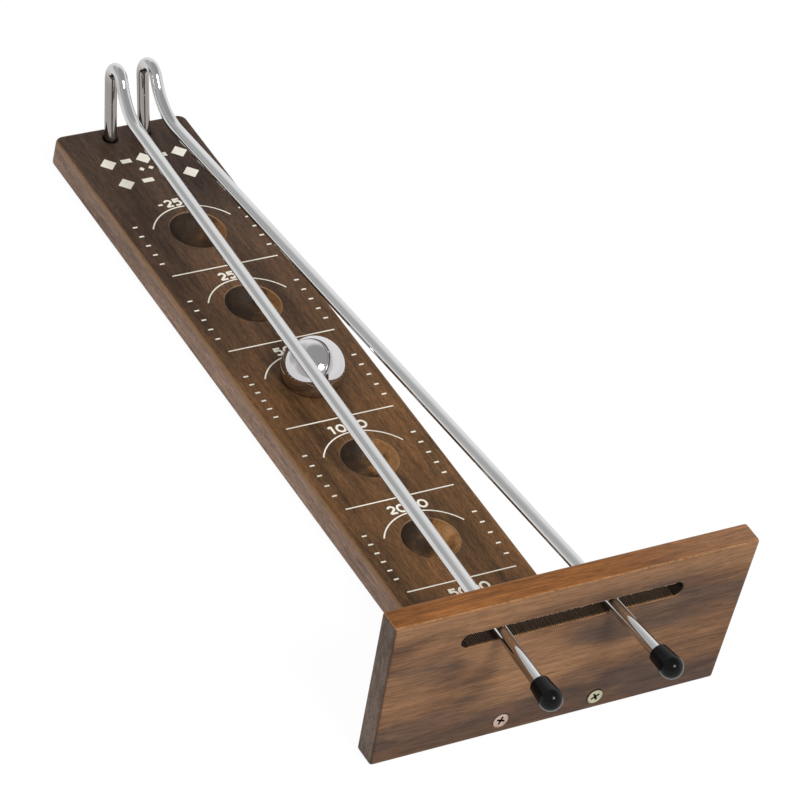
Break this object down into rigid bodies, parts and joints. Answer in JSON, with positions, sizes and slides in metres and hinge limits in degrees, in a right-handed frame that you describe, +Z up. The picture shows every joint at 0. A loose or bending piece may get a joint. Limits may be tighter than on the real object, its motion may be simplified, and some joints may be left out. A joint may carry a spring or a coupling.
{
  "type": "tabletop ball and rods skill game",
  "caption": "Wooden tabletop skill game: a steel ball is rolled up between two hinged rods that pass through a slotted front panel, above a board with scoring pockets.",
  "frame": {"origin": "centre of the base board's underside, on the table", "axes": "+Z up; +Y along the board away from the player, from the front panel to the rod pivots; +X to the player's right"},
  "size_m": [0.164, 0.4222, 0.0723],
  "materials": {
    "board_wood": "oiled dark brown wood with lengthwise grain, slightly worn edges",
    "panel_wood": "oiled reddish brown wood with grain across the width, worn edges",
    "screw_copper": "flat countersunk cross-recess head with a copper-tinted plating",
    "screw_zinc": "flat countersunk cross-recess head with yellow zinc plating",
    "rod_chrome": "bright plated round steel rod",
    "cap_vinyl": "glossy black soft vinyl",
    "ball_steel": "polished steel ball"
  },
  "bodies": {
    "game_base": {"base_board": "board_wood", "front_panel": "panel_wood", "panel_screw_left": "screw_copper", "panel_screw_right": "screw_zinc"},
    "left_rod_body": {"left_rod": "rod_chrome", "left_cap": "cap_vinyl"},
    "right_rod_body": {"right_rod": "rod_chrome", "right_cap": "cap_vinyl"},
    "ball_body": {"ball": "ball_steel"}
  },
  "joints": [
    {"name": "left_rod_swing", "type": "hinge", "parent": "game_base", "child": "left_rod_body", "pos_m": [-0.0081, 0.1736, 0], "axis": [0, 0, -1], "range_deg": [-4.1, 2.15]},
    {"name": "right_rod_swing", "type": "hinge", "parent": "game_base", "child": "right_rod_body", "pos_m": [0.0081, 0.1736, 0], "axis": [0, 0, 1], "range_deg": [-2.05, 4.25]},
    {"name": "ball_lift", "type": "slide", "parent": "game_base", "child": "ball_body", "axis": [0, 0, 1], "range_m": [0, 0.009]}
  ]
}
